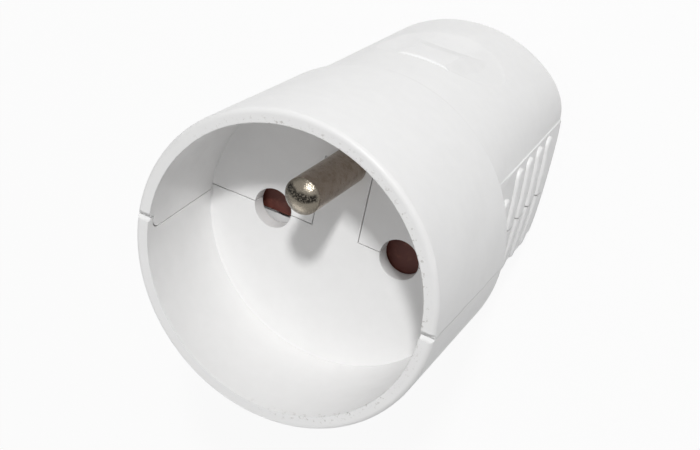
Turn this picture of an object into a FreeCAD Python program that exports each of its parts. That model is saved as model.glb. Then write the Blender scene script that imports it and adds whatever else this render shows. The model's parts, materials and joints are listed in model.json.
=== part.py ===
"""Inline socket connector for a two-pin plug with earth: two moulded half shells held by screws, with an
earth pin, two sprung contacts, a turning shutter behind the contact holes and a cord clamp inside.

Frame: the connector stands on its flat rear end. The origin is the centre of that end, +Z runs along the
axis out of the mouth, +Y points from the axis to the earth pin and +X runs along the line of the two
contact holes. The shells part on the plane y = 0. Units are millimetres.
"""

import FreeCAD, Part
import math
import os

V = FreeCAD.Vector
X_AXIS = V(1, 0, 0)
Y_AXIS = V(0, 1, 0)
Z_AXIS = V(0, 0, 1)

# The cup that takes the plug
cup_length = 24.3
recess_depth = 15.2
recess_diameter = 38.3
cup_wall = 1.85
cup_taper = 0.3
rim_round = 0.7
cup_back_round = 0.2
floor_thickness = 2.2

# The gripped barrel behind the cup
grip_length = 35.7
grip_width_front = 35.2
grip_width_back = 31.4
barrel_drop = 0.35
barrel_top_radius = 19.5
barrel_top_angle = 36.0
barrel_wall = 2.0
rear_wall = 3.0
rear_round = 3.5

# Side grip panels and their ribs
panel_height = 19.2
panel_crown = 0.55
panel_ledge = 0.25
rib_count = 5
rib_pitch = 5.1
first_rib_from_cup = 6.7
rib_width = 2.6
rib_length = 18.4
first_rib_length = 12.6
rib_proud = 0.55
rib_round = 0.4
rib_gap = 0.3

# Oval thumb scoop on the upper shell, and the low bar across its front half
scoop_depth = 0.9
scoop_from_cup = 16.6
scoop_length = 15.5
scoop_width = 19.4
scoop_sweep = 60.0
bar_from_cup = 9.4
bar_length = 8.0
bar_depth = 6.0
bar_proud = 0.25
bar_front_slope = 60.0
bar_back_slope = 13.0
bar_end_slope = 28.0

# The joint between the shells
parting_gap = 0.12
lap_height_rim = 1.8
lap_height_floor = 0.75
lap_round = 1.2
lap_setback = 1.2
rim_notch_radius = 0.55
tongue_width = 6.8

# The plug's standard pins
pin_spacing = 19.0
pin_diameter = 4.8
pin_reach = 19.0
hole_diameter = 5.6

# Earth pin and its terminal
earth_offset = 10.0
earth_pin_length = 14.0
earth_dome_height = 1.2
earth_edge_round = 0.25
earth_neck_diameter = 4.2
earth_collar_diameter = 6.8
earth_shank_diameter = 4.0
earth_shank_seat = 4.5
earth_block_width = 6.8
earth_block_length = 9.0

# Shutter, its pivot and its spring
shutter_hub_height = 2.0
shutter_hub_radius = 4.6
shutter_radius = 13.2
shutter_arm_thickness = 1.0
shutter_arm_width = 6.0
shutter_edge = 1.85
shutter_edge_thickness = 0.35
shutter_clearance = 0.3
pivot_diameter = 2.4
pivot_clearance = 0.1
spring_wire = 0.4
spring_coil_diameter = 5.3
spring_turns = 1.75
spring_pitch = 0.45
spring_room = 0.4
spring_leg_length = 1.2
spring_leg_depth = 0.5

# The web that carries the contacts, and the chamber in front of it
web_thickness = 2.0
chamber_wall = 2.4

# Contacts and their terminals
contact_wall = 0.65
contact_clearance = 0.05
contact_base = 1.0
contact_slot = 0.8
contact_slot_length = 9.0
contact_tail_diameter = 3.2
contact_tail_length = 1.6
block_width = 6.6
block_height = 7.0
block_length = 6.4
wire_hole_diameter = 3.4
saddle_thickness = 2.0
saddle_behind_web = 4.0
seat_clearance = 0.05

# Terminal screws
terminal_screw_diameter = 3.0
terminal_screw_head_diameter = 4.4
terminal_screw_head_height = 1.5
terminal_screw_length = 4.2
screw_slot_width = 0.8
screw_slot_depth = 0.7
cross_length = 3.6
cross_depth = 1.0

# Cord inlet and cord clamp
inlet_diameter = 9.5
inlet_round = 0.8
clamp_width = 22.0
clamp_depth = 4.6
clamp_thickness = 2.4
clamp_arch_radius = 4.6
clamp_screw_spacing = 16.4
clamp_post_radius = 2.3
clamp_post_top = 1.6
clamp_screw_length = 9.0

# Housing screws, which thread into bosses of the upper shell
housing_screw_diameter = 3.0
housing_screw_head_diameter = 5.4
housing_screw_head_height = 2.0
housing_screw_length = 20.0
housing_screw_engagement = 7.0
boss_wall = 1.7
boss_sink = 0.8
rear_screw_spacing = 19.6
inner_gap = 0.6
screw_clearance = 0.2

# How far a cutting tool runs past a face, how near an edge is to the place it is looked for at, and how far
# the rounded envelope of the rear end stands off the barrel
overshoot = 1.0
near = 0.001
envelope_margin = 0.05

# Levels along the axis, from the rear end
z_step = grip_length
z_rim = grip_length + cup_length
z_floor = z_rim - recess_depth
z_floor_back = z_floor - floor_thickness
z_shutter_front = z_floor_back - shutter_clearance
z_shutter_back = z_shutter_front - shutter_hub_height
z_arm_back = z_shutter_front - shutter_arm_thickness
z_landing = z_arm_back - shutter_clearance
z_web = z_shutter_back - shutter_clearance
z_web_back = z_web - web_thickness
z_contact_bore = z_floor - pin_reach - contact_base / 2
z_contact_back = z_contact_bore - contact_base
z_block_back = z_contact_back - block_length
z_earth_block = z_web_back - seat_clearance
z_earth_block_back = z_earth_block - earth_block_length

# Radii and places that follow from the sizes above
recess_radius = recess_diameter / 2
rim_radius = recess_radius + cup_wall
cup_back_radius = rim_radius - cup_taper
barrel_half_height = cup_back_radius - barrel_drop
panel_half = panel_height / 2
side_inset = panel_crown + panel_ledge
hole_x = pin_spacing / 2
pin_radius = pin_diameter / 2
contact_inner = pin_radius + contact_clearance
contact_outer = contact_inner + contact_wall
boss_radius = housing_screw_diameter / 2 + screw_clearance + boss_wall
rear_screw_x = rear_screw_spacing / 2
rear_screw_z = rear_wall + boss_radius - boss_sink
front_screw_z = z_earth_block_back - boss_radius - inner_gap
head_seat_y = housing_screw_engagement - housing_screw_length
clamp_z = rear_screw_z + boss_radius + inner_gap + clamp_depth / 2
clamp_screw_x = clamp_screw_spacing / 2
far = 2 * z_rim


def box(x0, x1, y0, y1, z0, z1):
    """A block between two corners."""
    return Part.makeBox(x1 - x0, y1 - y0, z1 - z0, V(x0, y0, z0))


def rod(radius, x, y, z, length, axis=Z_AXIS):
    """A cylinder from a centre along an axis."""
    return Part.makeCylinder(radius, length, V(x, y, z), axis)


def arc(first, middle, last):
    """An arc edge through three points."""
    return Part.Arc(first, middle, last).toShape()


def line(first, last):
    """A straight edge."""
    return Part.LineSegment(first, last).toShape()


def prism(points, direction):
    """A polygon's face pushed along a direction."""
    return Part.Face(Part.makePolygon(points + points[:1])).extrude(direction)


def save(name, shape):
    """Write one sub-part."""
    shape.exportStep("parts/%s.step" % name)


def arc_radius(half_chord, height):
    """Radius of an arc that rises by a height over half of its chord."""
    return (half_chord ** 2 + height ** 2) / (2 * height)


def slope_run(height, degrees):
    """How far a slope runs sideways over a height."""
    return height / math.tan(math.radians(degrees))


def half_width(z, widen=0.0):
    """Half of the grip's width at a height: it narrows evenly from the cup to the rear end."""
    front = grip_width_front / 2
    back = grip_width_back / 2
    return back + (front - back) * z / grip_length + widen


def barrel_wire(z, side_x, side_y, top_y, radius):
    """Barrel outline: a top and a bottom arc, and corner arcs that roll on from them to straight sides."""
    lean = math.radians(barrel_top_angle)
    join = V(radius * math.sin(lean), top_y - radius + radius * math.cos(lean), z)
    normal = V(math.sin(lean), math.cos(lean), 0)
    end = V(side_x, side_y, z)
    chord = join - end
    corner = chord.dot(chord) / (2 * normal.dot(chord))
    centre = join - normal * corner
    half_way = ((join - centre) + (end - centre)).normalize() * corner + centre

    def at(point, sx, sy):
        return V(point.x * sx, point.y * sy, z)

    edges = [arc(at(join, -1, 1), V(0, top_y, z), at(join, 1, 1))]
    edges.append(arc(at(join, 1, 1), at(half_way, 1, 1), at(end, 1, 1)))
    edges.append(line(at(end, 1, 1), at(end, 1, -1)))
    edges.append(arc(at(end, 1, -1), at(half_way, 1, -1), at(join, 1, -1)))
    edges.append(arc(at(join, 1, -1), V(0, -top_y, z), at(join, -1, -1)))
    edges.append(arc(at(join, -1, -1), at(half_way, -1, -1), at(end, -1, -1)))
    edges.append(line(at(end, -1, -1), at(end, -1, 1)))
    edges.append(arc(at(end, -1, 1), at(half_way, -1, 1), at(join, -1, 1)))
    return Part.Wire(edges)


def barrel_loft(z0, z1, inset):
    """The barrel between two heights, smaller all round by an inset."""
    wires = []
    for z in (z0, z1):
        side = half_width(z) - side_inset - inset
        wires.append(barrel_wire(z, side, panel_half, barrel_half_height - inset, barrel_top_radius - inset))
    return Part.makeLoft(wires, True, True)


def panel_loft(z0, z1, proud):
    """The crowned side panels as one block through the barrel."""
    wires = []
    for z in (z0, z1):
        middle = half_width(z, proud)
        edge = middle - panel_crown
        right = arc(V(edge, -panel_half, z), V(middle, 0, z), V(edge, panel_half, z))
        left = arc(V(-edge, panel_half, z), V(-middle, 0, z), V(-edge, -panel_half, z))
        top = line(V(edge, panel_half, z), V(-edge, panel_half, z))
        bottom = line(V(-edge, -panel_half, z), V(edge, -panel_half, z))
        wires.append(Part.Wire([right, top, left, bottom]))
    return Part.makeLoft(wires, True, True)


def rear_envelope():
    """A smooth solid just outside the barrel, with its rear edge rounded."""
    lean = math.radians(barrel_top_angle)
    radius = barrel_top_radius + envelope_margin
    top_y = barrel_half_height + envelope_margin
    join_x = radius * math.sin(lean)
    join_y = top_y - radius + radius * math.cos(lean)
    wires = []
    for z in (0.0, z_rim):
        side = half_width(z, envelope_margin)
        corner = (side - join_x) / (1 - math.sin(lean))
        wires.append(barrel_wire(z, side, join_y - corner * math.cos(lean), top_y, radius))
    solid = Part.makeLoft(wires, True, True)
    rear_edges = [edge for edge in solid.Edges if edge.BoundBox.ZMax < near]
    return solid.makeFillet(rear_round, rear_edges)


def grip_ribs():
    """Upright ribs of both side panels, with round ends and rounded outer edges."""
    ribs = []
    skin = panel_loft(0.0, z_step, rib_proud)
    reach = half_width(z_step, rib_proud)
    for index in range(rib_count):
        z = z_step - first_rib_from_cup - index * rib_pitch
        length = rib_length if index else first_rib_length
        end = (length - rib_width) / 2
        bar = box(-reach, reach, -end, end, z - rib_width / 2, z + rib_width / 2)
        bar = bar.fuse(rod(rib_width / 2, -reach, end, z, 2 * reach, X_AXIS))
        bar = bar.fuse(rod(rib_width / 2, -reach, -end, z, 2 * reach, X_AXIS)).removeSplitter()
        rib = bar.common(skin)
        limit = half_width(z) - panel_crown - rib_width
        outer = [e for e in rib.Edges if e.BoundBox.XMin > limit or e.BoundBox.XMax < -limit]
        ribs.append(rib.makeFillet(rib_round, outer))
    return ribs


def cup_solid():
    """The cup as a plain solid of revolution, with a rounded rim and a softened rear edge."""
    profile = [V(0, 0, z_step), V(cup_back_radius, 0, z_step), V(rim_radius, 0, z_rim), V(0, 0, z_rim)]
    face = Part.Face(Part.makePolygon(profile + profile[:1]))
    solid = face.revolve(V(0, 0, 0), Z_AXIS, 360)
    rim = [e for e in solid.Edges if e.Closed and e.BoundBox.ZMin > z_rim - near]
    back = [e for e in solid.Edges if e.Closed and e.BoundBox.ZMax < z_step + near]
    return solid.makeFillet(rim_round, rim).makeFillet(cup_back_round, back)


def barrel_sag(x):
    """How far the barrel's top has dropped at a distance from its middle."""
    return barrel_top_radius - math.sqrt(barrel_top_radius ** 2 - x ** 2)


def scoop_cutter():
    """The shallow oval thumb scoop: the inner side of a ring about a line along the barrel."""
    bottom = barrel_half_height - scoop_depth
    along = arc_radius(scoop_length / 2, scoop_depth)
    across = arc_radius(scoop_width / 2, barrel_sag(scoop_width / 2) - scoop_depth)
    axis = V(0, bottom - across, 0)
    circle = Part.Wire(Part.makeCircle(along, V(0, bottom + along, z_step - scoop_from_cup), X_AXIS))
    ring = Part.Face(circle).revolve(axis, Z_AXIS, 2 * scoop_sweep)
    ring.rotate(axis, Z_AXIS, -scoop_sweep)
    return ring


def scoop_bar():
    """The bar in the scoop: steep in front, sloping down behind, its top a little proud of the barrel."""
    front = z_step - bar_from_cup
    back = front - bar_depth
    end = bar_length / 2
    end_y = barrel_half_height - barrel_sag(end)
    wires = []
    for y in (end_y - 2 * scoop_depth, barrel_half_height + 2 * bar_proud):
        z0 = back - slope_run(barrel_half_height - y, bar_back_slope)
        z1 = front + slope_run(barrel_half_height - y, bar_front_slope)
        x = end + slope_run(end_y - y, bar_end_slope)
        corners = [V(-x, y, z0), V(x, y, z0), V(x, y, z1), V(-x, y, z1)]
        wires.append(Part.makePolygon(corners + corners[:1]))
    block = Part.makeLoft(wires, True, True)
    axis_y = barrel_half_height - barrel_top_radius
    return block.common(rod(barrel_top_radius + bar_proud, 0, axis_y, 0, z_step))


def outer_form():
    """The whole outside of the housing as one solid."""
    barrel = barrel_loft(0.0, z_step + cup_wall, 0.0)
    barrel = barrel.fuse(panel_loft(0.0, z_step + cup_wall, 0.0)).common(rear_envelope())
    form = barrel.fuse(cup_solid())
    form = form.cut(scoop_cutter()).fuse(scoop_bar())
    return form.fuse(grip_ribs())


def pin_holes(radius, z0, z1):
    """A pair of holes on the line of the plug's pins."""
    return [rod(radius, side * hole_x, 0, z0, z1 - z0) for side in (-1, 1)]


def hollow_form():
    """The outside with the recess, the chambers and the holes that cross both shells cut out."""
    below_web = z_web_back - overshoot
    below_floor = z_floor_back - overshoot
    tools = [rod(recess_radius, 0, 0, z_floor, recess_depth + overshoot)]
    tools.append(rod(recess_radius + cup_wall - chamber_wall, 0, 0, z_landing, z_floor_back - z_landing))
    tools.append(rod(shutter_hub_radius + shutter_clearance, 0, 0, z_web, z_floor_back - z_web))
    tools.append(barrel_loft(rear_wall, z_web_back, barrel_wall))
    tools += pin_holes(hole_diameter / 2, below_floor, z_floor + overshoot)
    tools += pin_holes(pin_radius + pivot_clearance, below_web, z_floor_back)
    neck_length = z_floor + overshoot - below_floor
    tools.append(rod(earth_neck_diameter / 2, 0, earth_offset, below_floor, neck_length))
    tools.append(rod(earth_shank_diameter / 2, 0, earth_offset, below_web, z_floor_back - below_web))
    tools.append(rod(inlet_diameter / 2, 0, 0, -overshoot, rear_wall + 2 * overshoot))
    flare = Part.makeCone(inlet_diameter / 2 + inlet_round, inlet_diameter / 2, inlet_round, V(0, 0, 0))
    tools.append(flare)
    return outer_form().cut(tools)


def rim_notch():
    """Rounded nick at the rim where the shells meet, on both sides."""
    return rod(rim_notch_radius, -far, parting_gap, z_rim, 2 * far, X_AXIS)


def lap_band(grow):
    """The inner half of the cup wall that the upper shell sends down past the parting plane."""
    middle = recess_radius + cup_wall / 2 + grow
    top = z_rim - lap_setback + grow
    low_rim = -lap_height_rim - grow
    low_floor = -lap_height_floor - grow
    outline = [V(-far, low_floor, z_floor), V(-far, low_rim, top)]
    outline += [V(-far, parting_gap, top), V(-far, parting_gap, z_floor)]
    strip = prism(outline, V(2 * far, 0, 0))
    front = [e for e in strip.Edges if e.BoundBox.YMax < low_rim + near and e.BoundBox.ZMin > top - near]
    strip = strip.makeFillet(lap_round, front)
    band = rod(middle, 0, 0, z_floor, top - z_floor).common(strip)
    return band.cut(rod(recess_radius, 0, 0, z_floor - overshoot, far))


def tongue(grow):
    """The strip of floor and web that the lower shell sends up to the earth pin."""
    half = tongue_width / 2 + grow
    return box(-half, half, -parting_gap, earth_offset + grow, z_web_back - overshoot, z_floor + overshoot)


def screw_places():
    """Housing screws as (x, z): one behind the earth terminal, two beside the cord inlet."""
    return [(0.0, front_screw_z), (-rear_screw_x, rear_screw_z), (rear_screw_x, rear_screw_z)]


def sleeve_seats(grow):
    """Room for the two contacts where the saddles hold them."""
    length = z_web_back - z_contact_back
    return [rod(contact_outer + grow, side * hole_x, 0, z_contact_back, length) for side in (-1, 1)]


def saddles(sign):
    """Ribs of one shell that hold the contacts, from the wall to the parting plane."""
    z1 = z_web_back - saddle_behind_web
    z0 = z1 - saddle_thickness
    inner = hole_x - contact_outer - contact_wall
    low, high = sorted((sign * parting_gap / 2, sign * far))
    ribs = []
    for side in (-1, 1):
        x0, x1 = sorted((side * inner, side * far))
        ribs.append(box(x0, x1, low, high, z0, z1))
    return ribs


def inside_of_barrel():
    """The solid that inner features of the shells are trimmed to."""
    return barrel_loft(rear_wall / 2, z_web_back + web_thickness / 2, barrel_wall / 2)


def upper_shell(hollow):
    """The half with the thumb scoop and the bosses that the housing screws thread into."""
    keep = box(-far, far, parting_gap / 2, far, -overshoot, z_rim + overshoot)
    shell = hollow.common(keep).cut(tongue(parting_gap))
    bosses = []
    for x, z in screw_places():
        bosses.append(rod(boss_radius, x, parting_gap / 2, z, far, Y_AXIS))
    inner = [feature.common(inside_of_barrel()) for feature in bosses + saddles(1)]
    shell = shell.fuse(inner).fuse(lap_band(0.0))
    tools = sleeve_seats(seat_clearance)
    for x, z in screw_places():
        tools.append(rod(housing_screw_diameter / 2, x, 0, z, housing_screw_engagement, Y_AXIS))
    tools.append(rim_notch())
    tools.append(box(-far, far, 0, rib_gap / 2, 0, z_step).cut(panel_loft(0, z_step, 0)))
    return shell.cut(tools).removeSplitter()


def lower_shell(hollow):
    """The half with the floor tongue, the screw columns, the block seats and the clamp posts."""
    keep = box(-far, far, -far, -parting_gap / 2, -overshoot, z_rim + overshoot)
    shell = hollow.common(keep).cut(lap_band(parting_gap))
    shell = shell.fuse(hollow.common(tongue(0.0)))
    features = saddles(-1)
    for x, z in screw_places():
        features.append(rod(boss_radius, x, -parting_gap / 2, z, far, -Y_AXIS))
        head_boss = housing_screw_head_diameter / 2 + boss_wall
        features.append(rod(head_boss, x, head_seat_y + boss_wall, z, far, -Y_AXIS))
    for side in (-1, 1):
        features.append(rod(clamp_post_radius, side * clamp_screw_x, clamp_post_top, clamp_z, far, -Y_AXIS))
        x0 = side * hole_x - block_width / 2
        seat_top = -block_height / 2
        features.append(box(x0, x0 + block_width, -far, seat_top, z_block_back, z_contact_back))
    bed = box(-clamp_screw_x, clamp_screw_x, -far, 0, clamp_z - clamp_depth / 2, clamp_z + clamp_depth / 2)
    features.append(bed.cut(rod(clamp_arch_radius, 0, 0, 0, far)))
    inner = [feature.common(inside_of_barrel()) for feature in features]
    shell = shell.fuse(inner)
    tools = sleeve_seats(seat_clearance)
    for x, z in screw_places():
        tools.append(rod(housing_screw_diameter / 2 + screw_clearance, x, -far, z, far, Y_AXIS))
        head_room = housing_screw_head_diameter / 2 + screw_clearance
        tools.append(rod(head_room, x, -far, z, far + head_seat_y, Y_AXIS))
    for side in (-1, 1):
        depth = clamp_screw_length - clamp_thickness
        tools.append(rod(terminal_screw_diameter / 2, side * clamp_screw_x, clamp_post_top - depth, clamp_z,
                         depth, Y_AXIS))
    tools.append(rod(pivot_diameter / 2, 0, 0, z_web_back - overshoot, web_thickness + 2 * overshoot))
    leg_hole = rod(spring_wire, spring_coil_diameter / 2, 0, z_web - 2 * spring_leg_depth, web_thickness)
    tools.append(leg_hole)
    tools.append(rim_notch())
    tools.append(box(-far, far, -rib_gap / 2, 0, 0, z_step).cut(panel_loft(0, z_step, 0)))
    return shell.cut(tools).removeSplitter()


def earth_pin():
    """Turned pin: low domed end, neck in the floor, collar behind it and a shank into its terminal."""
    tip = z_floor + earth_pin_length
    shoulder = tip - earth_dome_height
    radius = arc_radius(pin_radius, earth_dome_height)
    half_lean = math.asin(pin_radius / radius) / 2
    base = V(0, earth_offset, shoulder)
    side = V(pin_radius, earth_offset, shoulder)
    middle = V(radius * math.sin(half_lean), earth_offset, tip - radius + radius * math.cos(half_lean))
    top = V(0, earth_offset, tip)
    section = Part.Wire([line(base, side), arc(side, middle, top), line(top, base)])
    dome = Part.Face(section).revolve(base, Z_AXIS, 360)
    pin = rod(pin_radius, 0, earth_offset, z_floor, shoulder - z_floor).fuse(dome).removeSplitter()
    ridge = [e for e in pin.Edges if e.BoundBox.ZMin > shoulder - near and e.BoundBox.ZMax < shoulder + near]
    pin = pin.makeFillet(earth_edge_round, ridge)
    neck = rod(earth_neck_diameter / 2, 0, earth_offset, z_floor_back, floor_thickness)
    collar = rod(earth_collar_diameter / 2, 0, earth_offset, z_landing, z_floor_back - z_landing)
    shank_end = z_earth_block - earth_shank_seat
    shank = rod(earth_shank_diameter / 2, 0, earth_offset, shank_end, z_landing - shank_end)
    return pin.fuse([neck, collar, shank]).removeSplitter()


def terminal_screw(x, y, z, length):
    """Slotted cheese-head screw entered from +Y, with its head's underside at y."""
    shank = rod(terminal_screw_diameter / 2, x, y - length, z, length, Y_AXIS)
    head = rod(terminal_screw_head_diameter / 2, x, y, z, terminal_screw_head_height, Y_AXIS)
    top = y + terminal_screw_head_height
    half = screw_slot_width / 2
    slot = box(x - far, x + far, top - screw_slot_depth, top + overshoot, z - half, z + half)
    return shank.fuse(head).cut(slot).removeSplitter()


def terminal_block(x, y, width, height, z0, z1, seat_radius, seat_depth):
    """Brass block with a seat for its contact in front, a wire hole behind and a screw hole from +Y."""
    block = box(x - width / 2, x + width / 2, y - height / 2, y + height / 2, z0, z1)
    wire_depth = (z1 - z0) - seat_depth - contact_base / 2
    tools = [rod(seat_radius, x, y, z1 - seat_depth, seat_depth)]
    tools.append(rod(wire_hole_diameter / 2, x, y, z0, wire_depth))
    tools.append(rod(terminal_screw_diameter / 2, x, y, z0 + wire_depth / 2, height, Y_AXIS))
    return block.cut(tools), z0 + wire_depth / 2


def contact(x):
    """Split brass tube for one pin, closed behind, with a tail that seats in its terminal."""
    tube = rod(contact_outer, x, 0, z_contact_back, z_web_back - z_contact_back)
    bore = rod(contact_inner, x, 0, z_contact_bore, far)
    half = contact_slot / 2
    slot = box(x - half, x + half, -far, far, z_web_back - contact_slot_length, z_web_back + overshoot)
    tail = rod(contact_tail_diameter / 2, x, 0, z_contact_back - contact_tail_length, contact_tail_length)
    return tube.cut([bore, slot]).fuse(tail).removeSplitter()


def shutter_arm():
    """The arm over the left hole: its front slopes down to the edge that a plug's pin pushes aside."""
    arm = box(-far, 0, -shutter_edge, shutter_arm_width - shutter_edge, z_arm_back, z_shutter_front)
    arm = arm.common(rod(shutter_radius, 0, 0, z_arm_back, shutter_arm_thickness))
    edge = V(-far, -shutter_edge, z_arm_back + shutter_edge_thickness)
    ramp = [edge, V(-far, -shutter_edge, z_shutter_front), V(-far, hole_diameter / 2, z_shutter_front)]
    return arm.cut(prism(ramp, V(far - shutter_hub_radius, 0, 0)))


def shutter():
    """A hub with two arms that lie over the contact holes, and a recess behind for the spring."""
    left = shutter_arm()
    right = shutter_arm()
    right.rotate(V(0, 0, 0), Z_AXIS, 180)
    body = rod(shutter_hub_radius, 0, 0, z_shutter_back, shutter_hub_height).fuse([left, right])
    tools = [rod(pivot_diameter / 2 + pivot_clearance, 0, 0, 0, far)]
    coil = spring_coil_diameter / 2
    room = spring_wire / 2 + spring_room
    recess_top = z_shutter_back + spring_wire + spring_turns * spring_pitch + shutter_clearance
    tools.append(rod(coil + room, 0, 0, 0, recess_top).cut(rod(coil - room, 0, 0, 0, far)))
    leg = box(coil, coil + spring_leg_length + spring_room, -spring_wire, spring_wire, 0, recess_top)
    leg.rotate(V(0, 0, 0), Z_AXIS, 360 * spring_turns)
    tools.append(leg)
    return body.cut(tools).removeSplitter()


def shutter_pivot():
    """Plain pin pressed into the web, on which the shutter turns."""
    return rod(pivot_diameter / 2, 0, 0, z_web_back, z_shutter_front - z_web_back - shutter_clearance)


def shutter_spring():
    """Torsion spring in the shutter's recess: one leg down into the web, the other out into the shutter."""
    coil = spring_coil_diameter / 2
    height = spring_turns * spring_pitch
    base = z_shutter_back + spring_wire / 2
    helix = Part.makeHelix(spring_pitch, height, coil)
    helix.translate(V(0, 0, base))
    section = Part.Wire(Part.makeCircle(spring_wire / 2, V(coil, 0, base), Y_AXIS))
    body = Part.Wire(helix.Edges).makePipeShell([section], True, True)
    leg_down = rod(spring_wire / 2, coil, 0, z_web - spring_leg_depth, base - z_web + spring_leg_depth)
    angle = 2 * math.pi * spring_turns
    end = V(coil * math.cos(angle), coil * math.sin(angle), base + height)
    ball = Part.makeSphere(spring_wire / 2, V(coil, 0, base))
    outward = V(math.cos(angle), math.sin(angle), 0)
    leg_out = Part.makeCylinder(spring_wire / 2, spring_leg_length, end, outward)
    tip = Part.makeSphere(spring_wire / 2, end)
    return body.fuse([leg_down, ball, leg_out, tip])


def cord_clamp():
    """Bar over the cord on two posts, arched in the middle."""
    half = clamp_width / 2
    z0 = clamp_z - clamp_depth / 2
    bar = box(-half, half, clamp_post_top, clamp_post_top + clamp_thickness, z0, z0 + clamp_depth)
    arch = rod(clamp_arch_radius + clamp_thickness, 0, 0, z0, clamp_depth)
    arch = arch.common(box(-far, far, clamp_post_top, far, z0, z0 + clamp_depth))
    tools = [rod(clamp_arch_radius, 0, 0, z0 - overshoot, clamp_depth + 2 * overshoot)]
    for side in (-1, 1):
        radius = terminal_screw_diameter / 2 + screw_clearance
        tools.append(rod(radius, side * clamp_screw_x, 0, clamp_z, far, Y_AXIS))
    return bar.fuse(arch).cut(tools).removeSplitter()


def housing_screw(x, z):
    """Pan-head screw from the lower shell with a cross recess in its head."""
    shank = rod(housing_screw_diameter / 2, x, head_seat_y, z, housing_screw_length, Y_AXIS)
    head_low = head_seat_y - housing_screw_head_height
    head = rod(housing_screw_head_diameter / 2, x, head_low, z, housing_screw_head_height, Y_AXIS)
    half = screw_slot_width / 2
    reach = cross_length / 2
    low = head_low - overshoot
    high = head_low + cross_depth
    cross = box(x - reach, x + reach, low, high, z - half, z + half)
    cross = cross.fuse(box(x - half, x + half, low, high, z - reach, z + reach))
    return shank.fuse(head).cut(cross).removeSplitter()


def main():
    os.makedirs("parts", exist_ok=True)
    hollow = hollow_form()
    save("upper_shell", upper_shell(hollow))
    save("lower_shell", lower_shell(hollow))

    save("earth_pin", earth_pin())
    block, screw_z = terminal_block(0, earth_offset, earth_block_width, earth_block_width, z_earth_block_back,
                                    z_earth_block, earth_shank_diameter / 2, earth_shank_seat)
    save("earth_terminal", block)
    top = earth_offset + earth_block_width / 2
    save("earth_terminal_screw", terminal_screw(0, top, screw_z, terminal_screw_length))

    for name, side in (("left", -1), ("right", 1)):
        x = side * hole_x
        save(name + "_contact", contact(x))
        block, screw_z = terminal_block(x, 0, block_width, block_height, z_block_back, z_contact_back,
                                        contact_tail_diameter / 2, contact_tail_length)
        save(name + "_terminal", block)
        save(name + "_terminal_screw", terminal_screw(x, block_height / 2, screw_z, terminal_screw_length))

    save("shutter", shutter())
    save("shutter_pivot", shutter_pivot())
    save("shutter_spring", shutter_spring())

    save("cord_clamp", cord_clamp())
    clamp_top = clamp_post_top + clamp_thickness
    screws = []
    for x in (-clamp_screw_x, clamp_screw_x):
        screws.append(terminal_screw(x, clamp_top, clamp_z, clamp_screw_length))
    save("cord_clamp_screws", Part.makeCompound(screws))
    save("housing_screws", Part.makeCompound([housing_screw(x, z) for x, z in screw_places()]))


main()
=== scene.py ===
import json

import bpy
from mathutils import Matrix, Vector


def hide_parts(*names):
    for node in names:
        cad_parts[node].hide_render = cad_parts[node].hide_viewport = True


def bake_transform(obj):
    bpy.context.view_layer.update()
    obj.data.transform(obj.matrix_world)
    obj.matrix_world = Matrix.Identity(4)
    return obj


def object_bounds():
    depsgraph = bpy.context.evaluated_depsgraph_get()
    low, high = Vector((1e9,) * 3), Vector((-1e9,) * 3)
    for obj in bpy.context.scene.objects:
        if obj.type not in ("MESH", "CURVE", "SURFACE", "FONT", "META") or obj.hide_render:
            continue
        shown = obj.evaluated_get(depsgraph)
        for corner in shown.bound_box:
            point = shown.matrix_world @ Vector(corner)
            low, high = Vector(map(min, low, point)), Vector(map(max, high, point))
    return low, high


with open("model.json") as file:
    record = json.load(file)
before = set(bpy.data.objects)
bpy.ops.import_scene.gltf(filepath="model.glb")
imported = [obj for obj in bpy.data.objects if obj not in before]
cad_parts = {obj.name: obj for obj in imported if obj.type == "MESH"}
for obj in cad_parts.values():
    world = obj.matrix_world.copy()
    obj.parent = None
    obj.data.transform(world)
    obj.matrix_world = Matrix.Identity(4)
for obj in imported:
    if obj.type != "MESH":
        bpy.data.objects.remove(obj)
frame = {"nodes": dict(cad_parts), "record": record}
cad_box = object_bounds()

# Lengths below are in millimetres of the part's frame, and Blender's are in metres
MM = 0.001

# The photograph's width in pixels, and the camera that took it
photo_width = 700
focal_pixels = 1280.4
film_width = 36.0
camera_place = Vector((55.7, 76.2, 184.5))
camera_aim = Vector((1.84, 2.04, 44.8))
picture_up = Vector((-0.357, 0.875, -0.327))

# The cup: its rim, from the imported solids, its wall, and the step behind it
rim_level = cad_box[1].z / MM
rim_radius = cad_box[1].x / MM
cup_wall = 1.85
step_level = rim_level - 24.3

# The oval scoop on the barrel: its middle's level, its length along the barrel, its width,
# the height of its floor, and the way it faces
scoop_level = step_level - 16.6
scoop_length = 15.5
scoop_width = 19.4
scoop_floor = 19.45
scoop_facing = (0.0, 1.0, 0.0)

# The earth pin: its axis, its radius, and the level where its domed end starts
pin_offset = 10.0
pin_radius = 2.4
dome_level = rim_level - 2.4

# White plastic: its tones, how rough it is, and how deep its marks are
white_dull = (0.824, 0.822, 0.819, 1.0)
white_bright = (0.864, 0.862, 0.859, 1.0)
# Painted shade on the rim, towards the top where the key lamp falls
white_rim_shade = (0.81, 0.808, 0.804, 1.0)
# Painted shade in the corner of the step behind the cup
step_shade_grey = (0.45, 0.44, 0.42, 1.0)
step_shade_share = 0.45
speck_grey = (0.42, 0.40, 0.37, 1.0)
speck_share = 0.6
white_rough = 0.34
white_grain_rough = 0.12
white_cloud_rough = 0.06
speck_rough = 0.3
white_edge = 0.18
wave_depth = 0.25
dimple_depth = 0.011
white_grain_depth = 0.005
white_index = 1.46

# Where the white plastic is marked: the side of the rim with most specks, the side of the rim given
# painted shade, how far painted shade reaches from the step, and how far the scoop's ends are softened
specked_side = Vector((0.93, 0.38))
rim_shade_side = Vector((0.4, 1.0))
step_shade_reach = 1.1
scoop_softness = 0.7
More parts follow.
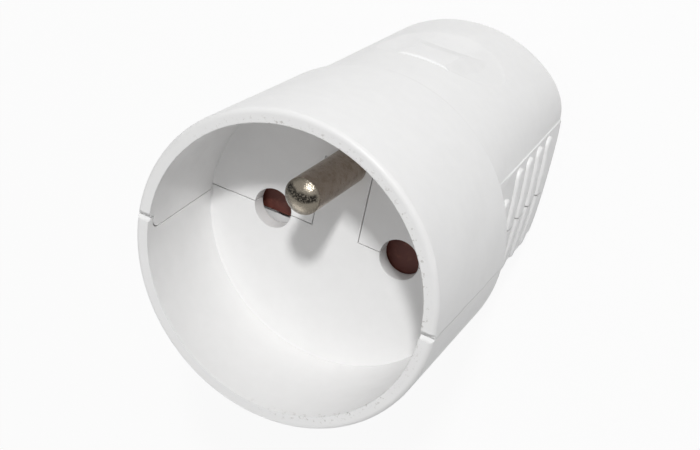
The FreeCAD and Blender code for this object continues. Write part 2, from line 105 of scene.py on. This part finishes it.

# Nickel plate: its tones on the shaft and on the domed end, whose darker tone and band are partly tarnish
# and pits, partly painted dark reflection, and the marks in it
nickel_clean = (0.372, 0.304, 0.249, 1.0)
nickel_tarnished = (0.27, 0.215, 0.17, 1.0)
nickel_end_tarnish_and_reflection = (0.205, 0.182, 0.148, 1.0)
nickel_pits_and_reflection = (0.02, 0.018, 0.015, 1.0)
nickel_rough = 0.24
tarnish_rough = 0.14
pit_rough = 0.08
end_polish = 0.08
pin_edge = 0.1
pit_depth = 0.03
turning_depth = 0.004
turnings_per_mm = 9.0

# The band of pits and painted dark reflection over the pin's end: its place, its tilt, its curve and how
# ragged it is
band_place = 0.75
band_tilt = 0.1
band_curve = 0.13
band_ragged = 0.8

# Bare brass and steel
brass_bright = (0.75, 0.55, 0.24, 1.0)
brass_dull = (0.55, 0.38, 0.16, 1.0)
brass_rough = 0.24
steel_bright = (0.62, 0.62, 0.62, 1.0)
steel_dull = (0.46, 0.46, 0.45, 1.0)
steel_rough = 0.26
mark_rough = 0.14
patch_rough = 0.08
metal_edge = 0.08
mark_depth = 0.008

# The shutter's brown plastic
brown_dark = (0.105, 0.028, 0.02, 1.0)
brown_rubbed = (0.16, 0.05, 0.036, 1.0)
brown_rough = 0.42
brown_grain_rough = 0.14
brown_edge = 0.12
brown_grain_depth = 0.006
brown_index = 1.4

# The light: a small key lamp from beyond the top of the picture, a broad weak one from the
# other side, and a room that is even but for a shaded part low on the right
lamp_distance = 600.0
key_from = Vector((0.195, 0.69, 0.69))
key_size = 45.0
key_power = 2.25
fill_from = Vector((-0.3, -0.94, 0.15))
fill_size = 400.0
fill_power = 1.1
light_white = (1.0, 1.0, 1.0, 1.0)
room_strength = 0.385
room_shade = 0.3

# The floor: its paint, and the share of it that shows plain white
floor_size = 4000.0
floor_drop = 0.05
floor_paint = (0.75, 0.75, 0.75, 1.0)
floor_glow = 0.92

# How many rays look for an edge to soften
edge_samples = 6


class Flow:
    """A shader value that can be written in sums: each operator adds one Math node."""

    def __init__(self, finish, socket):
        self.finish = finish
        self.socket = socket

    def math(self, operation, *values):
        return self.finish.node("ShaderNodeMath", {"operation": operation}, dict(enumerate(values)))

    def __add__(self, other):
        return self.math("ADD", self, other)

    def __radd__(self, other):
        return self.math("ADD", other, self)

    def __sub__(self, other):
        return self.math("SUBTRACT", self, other)

    def __rsub__(self, other):
        return self.math("SUBTRACT", other, self)

    def __mul__(self, other):
        return self.math("MULTIPLY", self, other)

    def __rmul__(self, other):
        return self.math("MULTIPLY", other, self)

    def __abs__(self):
        return self.math("ABSOLUTE", self)

    def larger(self, other):
        return self.math("MAXIMUM", self, other)

    def root(self):
        return self.math("SQRT", self)


class Finish:
    """The nodes of one material, or of the room's light."""

    def __init__(self, tree):
        self.tree = tree
        tree.nodes.clear()

    def node(self, kind, settings=None, sockets=None, out=0):
        """Add a node: its settings first, then the values or links of its sockets."""
        made = self.tree.nodes.new(kind)
        for key, value in (settings or {}).items():
            setattr(made, key, value)
        for key, value in (sockets or {}).items():
            if isinstance(value, Flow):
                self.tree.links.new(value.socket, made.inputs[key])
            else:
                made.inputs[key].default_value = value
        return Flow(self, made.outputs[out] if made.outputs else None)

    def place(self):
        """The point of the surface in the part's frame, in millimetres."""
        metres = self.node("ShaderNodeTexCoord", out="Object")
        return self.node("ShaderNodeVectorMath", {"operation": "SCALE"}, {0: metres, "Scale": 1 / MM})

    def axes(self, vector):
        """The three parts of a vector."""
        split = self.node("ShaderNodeSeparateXYZ", None, {0: vector}).socket.node
        return [Flow(self, socket) for socket in split.outputs]

    def noise(self, vector, scale, detail=2.0, rough=0.5):
        """Even noise from 0 to 1, with its scale in cells a millimetre."""
        sockets = {"Vector": vector, "Scale": scale, "Detail": detail, "Roughness": rough}
        return self.node("ShaderNodeTexNoise", None, sockets)

    def step(self, value, low, high):
        """A soft step from 0 at low to 1 at high."""
        sockets = {"Value": value, "From Min": low, "From Max": high}
        return self.node("ShaderNodeMapRange", {"interpolation_type": "SMOOTHSTEP"}, sockets)

    def mix(self, share, first, second):
        """Two colours mixed by a share of the second."""
        settings = {"data_type": "RGBA"}
        return self.node("ShaderNodeMix", settings, {0: share, 6: first, 7: second}, out=2)

    def lean(self, share, first, second):
        """Two directions mixed by a share of the second."""
        settings = {"data_type": "VECTOR"}
        return self.node("ShaderNodeMix", settings, {0: share, 4: first, 5: second}, out=1)

    def bump(self, height, depth, normal):
        """A dented normal, for a height from 0 to 1 that is so many millimetres deep."""
        sockets = {"Height": height, "Distance": depth * MM, "Normal": normal}
        return self.node("ShaderNodeBump", None, sockets)

    def soft_edges(self, radius):
        """A normal that rounds sharp edges by a radius in millimetres."""
        return self.node("ShaderNodeBevel", {"samples": edge_samples}, {"Radius": radius * MM})

    def surface(self, **sockets):
        """The shader itself, joined to the material's output."""
        named = {key.replace("_", " "): value for key, value in sockets.items()}
        shader = self.node("ShaderNodeBsdfPrincipled", None, named)
        self.node("ShaderNodeOutputMaterial", None, {"Surface": shader})


def new_material(name):
    """An empty material and the writer of its nodes."""
    material = bpy.data.materials.new(name)
    material.use_nodes = True
    return material, Finish(material.node_tree)


def rim_specks(f, place):
    """Specks in the rim's inner edge, most of them on one side: 1 in a speck."""
    x, y, z = f.axes(place)
    radius = (x * x + y * y).root()
    from_edge = abs(radius - (rim_radius - cup_wall)) + abs(z - rim_level)
    near_edge = 1 - f.step(from_edge, low=0.35, high=1.2)
    on_side = f.step(x * specked_side.x + y * specked_side.y, low=-14.0, high=4.0)
    spots = f.step(f.noise(place, scale=1.7, detail=3.0, rough=0.75), low=0.54, high=0.68)
    return spots * (near_edge * on_side)


def rim_top_shade(f, place):
    """The rim's end and outer edge, with painted shade towards the top where the key lamp falls."""
    x, y, z = f.axes(place)
    on_rim = f.step(z, low=rim_level - 1.0, high=rim_level - 0.3)
    towards_top = f.step(x * rim_shade_side.x + y * rim_shade_side.y, low=-16.0, high=6.0)
    return on_rim * towards_top


def step_corner_shade(f, place):
    """Painted shade in the corner of the step behind the cup."""
    z = f.axes(place)[2]
    behind = f.step(z, low=step_level - step_shade_reach, high=step_level - 0.05)
    before = f.step(z, low=step_level, high=step_level + 0.15)
    return behind * (1 - before)


def soft_scoop(f, place, normal):
    """A normal that runs the scoop's two ends softly into the barrel."""
    x, y, z = f.axes(place)
    faces_out = f.step(f.axes(normal)[1], low=0.5, high=0.7)
    near_floor = f.step(y, low=scoop_floor - 6.0, high=scoop_floor - 4.0)
    along = (z - scoop_level) * (2 / scoop_length)
    across = x * (2 / scoop_width)
    inside = 1 - f.step(along * along + across * across, low=0.85, high=1.1)
    off_middle = f.step(abs(x), low=2.8, high=4.2)
    ends = off_middle * inside * (faces_out * near_floor)
    return f.lean(ends * scoop_softness, normal, scoop_facing)


def white_plastic():
    """Moulded white plastic: a satin skin with grain, dimples and slow waves, specks, and painted shade on
    the rim and behind the step.
    """
    material, f = new_material("white_plastic")
    place = f.place()
    grain = f.noise(place, scale=7.0, detail=3.0)
    dimples = f.noise(place, scale=1.1, detail=3.0, rough=0.6)
    cloud = f.noise(place, scale=0.5, detail=4.0, rough=0.6)
    waves = f.noise(place, scale=0.16)
    specks = rim_specks(f, place)
    colour = f.mix(cloud, white_dull, white_bright)
    # Painted shade on the rim towards the top
    colour = f.mix(rim_top_shade(f, place), colour, white_rim_shade)
    # Painted shade in the step's corner
    colour = f.mix(step_corner_shade(f, place) * step_shade_share, colour, step_shade_grey)
    colour = f.mix(specks * speck_share, colour, speck_grey)
    rough = white_rough + grain * white_grain_rough + cloud * white_cloud_rough + specks * speck_rough
    normal = soft_scoop(f, place, f.soft_edges(white_edge))
    normal = f.bump(waves, wave_depth, normal)
    normal = f.bump(dimples, dimple_depth, normal)
    normal = f.bump(grain, white_grain_depth, normal)
    f.surface(Base_Color=colour, Roughness=rough, Normal=normal, IOR=white_index)
    return material


def pits_and_reflection_band(f, x, across, haze, pits):
    """The curved band of pits and painted dark reflection over the pin's domed end: 1 in a dark mark."""
    from_line = across + x * band_tilt - x * x * band_curve + haze * band_ragged - band_place
    in_band = 1 - f.step(abs(from_line), low=0.35, high=0.8)
    radius = (x * x + across * across).root()
    off_edge = 1 - f.step(radius, low=pin_radius * 0.82, high=pin_radius * 0.99)
    return f.step(pits, low=0.36, high=0.52) * (in_band * off_edge)


def nickel_plate():
    """Nickel plate over brass, dulled by use: a brownish shaft, and a domed end whose darker tone and band
    are partly tarnish and pits, partly painted dark reflection.
    """
    material, f = new_material("nickel_plate")
    place = f.place()
    x, y, z = f.axes(place)
    pits = f.noise(place, scale=5.0, detail=4.0, rough=0.7)
    haze = f.noise(place, scale=0.9, detail=3.0, rough=0.6)
    along_pin = f.node("ShaderNodeCombineXYZ", None, {"Z": z * turnings_per_mm})
    turnings = f.noise(along_pin, scale=1.0)
    tarnish = f.step(haze * 0.6 + pits * 0.4, low=0.42, high=0.68)
    on_end = f.step(z, low=dome_level - 0.1, high=dome_level + 0.1)
    shaft = f.mix(tarnish, nickel_clean, nickel_tarnished)
    # The end's darker tone and its band: partly tarnish and pits, partly painted dark reflection
    end = f.mix(pits_and_reflection_band(f, x, y - pin_offset, haze, pits), nickel_end_tarnish_and_reflection, nickel_pits_and_reflection)
    colour = f.mix(on_end, shaft, end)
    rough = nickel_rough + tarnish * tarnish_rough + pits * pit_rough - on_end * end_polish
    normal = f.bump(pits, pit_depth, f.soft_edges(pin_edge))
    normal = f.bump(turnings, turning_depth, normal)
    f.surface(Base_Color=colour, Metallic=1.0, Roughness=rough, Normal=normal)
    return material


def bare_metal(name, bright, dull, plain_rough):
    """Turned or pressed metal with fine marks and a patchy tarnish."""
    material, f = new_material(name)
    place = f.place()
    marks = f.noise(place, scale=6.0, detail=4.0, rough=0.7)
    patches = f.noise(place, scale=0.7, detail=3.0, rough=0.6)
    colour = f.mix(f.step(patches, low=0.4, high=0.7), bright, dull)
    rough = plain_rough + marks * mark_rough + patches * patch_rough
    normal = f.bump(marks, mark_depth, f.soft_edges(metal_edge))
    f.surface(Base_Color=colour, Metallic=1.0, Roughness=rough, Normal=normal)
    return material


def brown_plastic():
    """Dark red-brown plastic of the shutter, with a fine grain and rubbed patches."""
    material, f = new_material("brown_plastic")
    place = f.place()
    grain = f.noise(place, scale=6.0, detail=3.0)
    patches = f.noise(place, scale=0.8, detail=3.0, rough=0.6)
    colour = f.mix(f.step(patches, low=0.45, high=0.75), brown_dark, brown_rubbed)
    rough = brown_rough + grain * brown_grain_rough
    normal = f.bump(grain, brown_grain_depth, f.soft_edges(brown_edge))
    f.surface(Base_Color=colour, Roughness=rough, Normal=normal, IOR=brown_index)
    return material


def dress(materials):
    """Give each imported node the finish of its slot."""
    for part in frame["record"]["subparts"]:
        node = frame["nodes"][part["node"]]
        node.data.materials.clear()
        node.data.materials.append(materials[part["material_slot"]])


def twisting_spring():
    """A copy of the shutter's spring that stands in for the imported one, which is hidden."""
    spring = bpy.data.objects.new("twisting_spring", frame["nodes"]["shutter_spring"].data.copy())
    bpy.context.scene.collection.objects.link(spring)
    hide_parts("shutter_spring")
    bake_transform(spring)


def seen_rays(f):
    """1 for rays that show the surroundings: the camera's, and those that gloss or glass sends on."""
    seen = f.node("ShaderNodeLightPath", out="Is Camera Ray")
    for kind in ("Is Glossy Ray", "Is Transmission Ray"):
        seen = seen.larger(f.node("ShaderNodeLightPath", out=kind))
    return seen


def floor_white():
    """Paint that shows nearly white where it is seen, with a faint shadow, and is clear from below."""
    material, f = new_material("floor_white")
    paint = f.node("ShaderNodeBsdfDiffuse", None, {"Color": floor_paint})
    glow = f.node("ShaderNodeEmission", None, {"Color": light_white, "Strength": 1.0})
    face = f.node("ShaderNodeMixShader", None, {0: seen_rays(f) * floor_glow, 1: paint, 2: glow})
    clear = f.node("ShaderNodeBsdfTransparent")
    below = f.node("ShaderNodeNewGeometry", out="Backfacing")
    shown = f.node("ShaderNodeMixShader", None, {0: below, 1: face, 2: clear})
    f.node("ShaderNodeOutputMaterial", None, {"Surface": shown})
    return material


def studio_floor():
    """A wide pale floor just under the part."""
    half = floor_size * MM / 2
    corners = [(-half, -half, 0), (half, -half, 0), (half, half, 0), (-half, half, 0)]
    mesh = bpy.data.meshes.new("floor")
    mesh.from_pydata(corners, [], [range(len(corners))])
    mesh.materials.append(floor_white())
    floor = bpy.data.objects.new("floor", mesh)
    floor.location.z = -floor_drop * MM
    bpy.context.scene.collection.objects.link(floor)


def room_light():
    """A room that shows white, with a plain level of light for the part and less from low on the right."""
    world = bpy.data.worlds.new("room")
    bpy.context.scene.world = world
    world.use_nodes = True
    f = Finish(world.node_tree)
    to_right, _, upward = f.axes(f.node("ShaderNodeTexCoord", out="Generated"))
    low_right = f.step(to_right, low=0.2, high=0.8) * (1 - f.step(upward, low=0.2, high=0.5))
    strength = seen_rays(f).larger(room_strength - low_right * room_shade)
    light = f.node("ShaderNodeBackground", None, {"Color": light_white, "Strength": strength})
    f.node("ShaderNodeOutputWorld", None, {"Surface": light})


def soft_lamp(name, direction, size, power):
    """A square soft box that faces the middle of the part."""
    lamp = bpy.data.lights.new(name, "AREA")
    lamp.shape = "SQUARE"
    lamp.size = size * MM
    lamp.energy = power
    holder = bpy.data.objects.new(name, lamp)
    middle = (cad_box[0] + cad_box[1]) / 2
    away = direction.normalized()
    holder.location = middle + away * lamp_distance * MM
    holder.rotation_euler = away.to_track_quat("Z", "Y").to_euler()
    bpy.context.scene.collection.objects.link(holder)


def photo_camera():
    """The camera of the photograph."""
    lens = bpy.data.cameras.new("camera")
    lens.sensor_width = film_width
    lens.lens = film_width * focal_pixels / photo_width
    camera = bpy.data.objects.new("camera", lens)
    back = (camera_place - camera_aim).normalized()
    right = picture_up.cross(back).normalized()
    up = back.cross(right)
    turn = Matrix((right, up, back)).transposed().to_4x4()
    camera.matrix_world = Matrix.Translation(camera_place * MM) @ turn
    bpy.context.scene.collection.objects.link(camera)
    bpy.context.scene.camera = camera


def main():
    """Dress the part and light it."""
    dress({
        "white_plastic": white_plastic(),
        "nickel_plate": nickel_plate(),
        "brass": bare_metal("brass", brass_bright, brass_dull, brass_rough),
        "steel": bare_metal("steel", steel_bright, steel_dull, steel_rough),
        "brown_plastic": brown_plastic(),
    })
    twisting_spring()
    studio_floor()
    room_light()
    soft_lamp("key", key_from, key_size, key_power)
    soft_lamp("fill", fill_from, fill_size, fill_power)
    photo_camera()
    bpy.context.scene.view_settings.view_transform = "Standard"


main()
